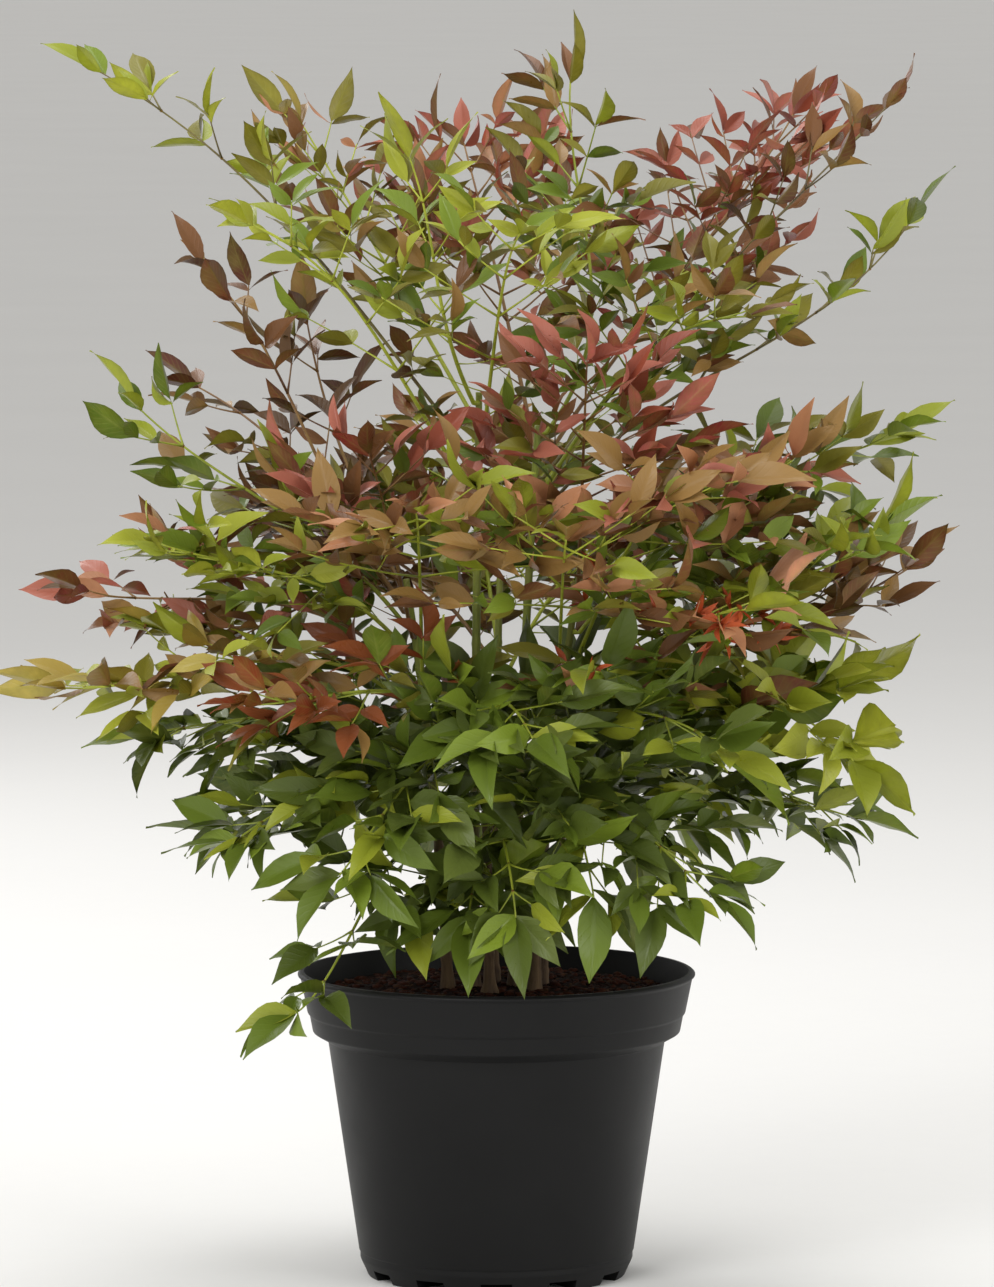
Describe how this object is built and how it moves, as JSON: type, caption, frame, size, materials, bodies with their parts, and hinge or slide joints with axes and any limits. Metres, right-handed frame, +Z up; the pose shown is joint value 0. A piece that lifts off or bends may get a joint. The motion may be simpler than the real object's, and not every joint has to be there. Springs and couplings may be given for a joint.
{
  "type": "heavenly bamboo in a pot",
  "caption": "Potted heavenly bamboo: slim canes and arching compound leaves in tiers of green, lime, bronze and red, standing in a black tapered nursery pot.",
  "frame": {"origin": "centre of the pot's flat underside", "axes": "+Z up along the pot axis, -Y towards the side that the picture shows, +X to the right of that view"},
  "size_m": [0.5582, 0.4628, 0.7279],
  "materials": {
    "cane": "fibrous, dull",
    "deep": "deep green leaflets, slightly glossy",
    "rust": "rust red leaflets, slightly glossy",
    "lime": "lime green leaflets, slightly glossy",
    "olive": "olive leaflets, slightly glossy",
    "bronze": "bronze leaflets, slightly glossy",
    "crimson": "crimson leaflets, slightly glossy",
    "gold": "gold leaflets, slightly glossy",
    "green": "bright green leaflets, slightly glossy",
    "pot": "black, faintly grained",
    "soil": "dark moist peat and composted bark",
    "stalk": "smooth, green"
  },
  "bodies": {
    "root": {"cane_mid_back": "cane", "cane_mid_left": "cane", "cane_mid_right": "cane", "cane_short_back": "cane", "cane_short_front": "cane", "cane_tall_left": "cane", "cane_tall_right": "cane", "leaf_low_back": "deep", "leaf_low_back_left": "deep", "leaf_low_back_right": "deep", "leaf_low_front": "deep", "leaf_low_front_drop": "deep", "leaf_low_front_inner": "deep", "leaf_low_front_left": "deep", "leaf_low_front_right": "deep", "leaf_low_inner_front": "deep", "leaf_low_inner_left": "deep", "leaf_low_left": "deep", "leaf_low_left_front": "deep", "leaf_low_left_red": "rust", "leaf_low_over_rim": "deep", "leaf_low_right": "deep", "leaf_low_right_front": "deep", "leaf_low_right_gold": "lime", "leaf_mid_back": "olive", "leaf_mid_back_left": "rust", "leaf_mid_back_right": "bronze", "leaf_mid_front_crimson": "crimson", "leaf_mid_front_orange": "bronze", "leaf_mid_front_red": "crimson", "leaf_mid_front_rust": "bronze", "leaf_mid_front_salmon": "bronze", "leaf_mid_left_gold": "gold", "leaf_mid_left_green": "green", "leaf_mid_left_high": "rust", "leaf_mid_left_lime": "lime", "leaf_mid_left_pink": "rust", "leaf_mid_left_rust": "rust", "leaf_mid_left_upright": "rust", "leaf_mid_right_bronze": "bronze", "leaf_mid_right_far": "rust", "leaf_mid_right_front": "green", "leaf_mid_right_green": "green", "leaf_mid_right_high": "green", "leaf_upper_back": "olive", "leaf_upper_far_left": "lime", "leaf_upper_far_right": "rust", "leaf_upper_front": "lime", "leaf_upper_left_back": "bronze", "leaf_upper_left_front": "lime", "leaf_upper_low_right": "green", "leaf_upper_right_back": "crimson", "leaf_upper_right_front": "olive", "leaf_upper_spike": "olive", "leaf_upper_top_left": "lime", "pot": "pot", "potting_soil": "soil", "stalk_upper_far_left": "stalk", "stalk_upper_far_right": "stalk", "stalk_upper_low_right": "stalk"}
  },
  "joints": []
}
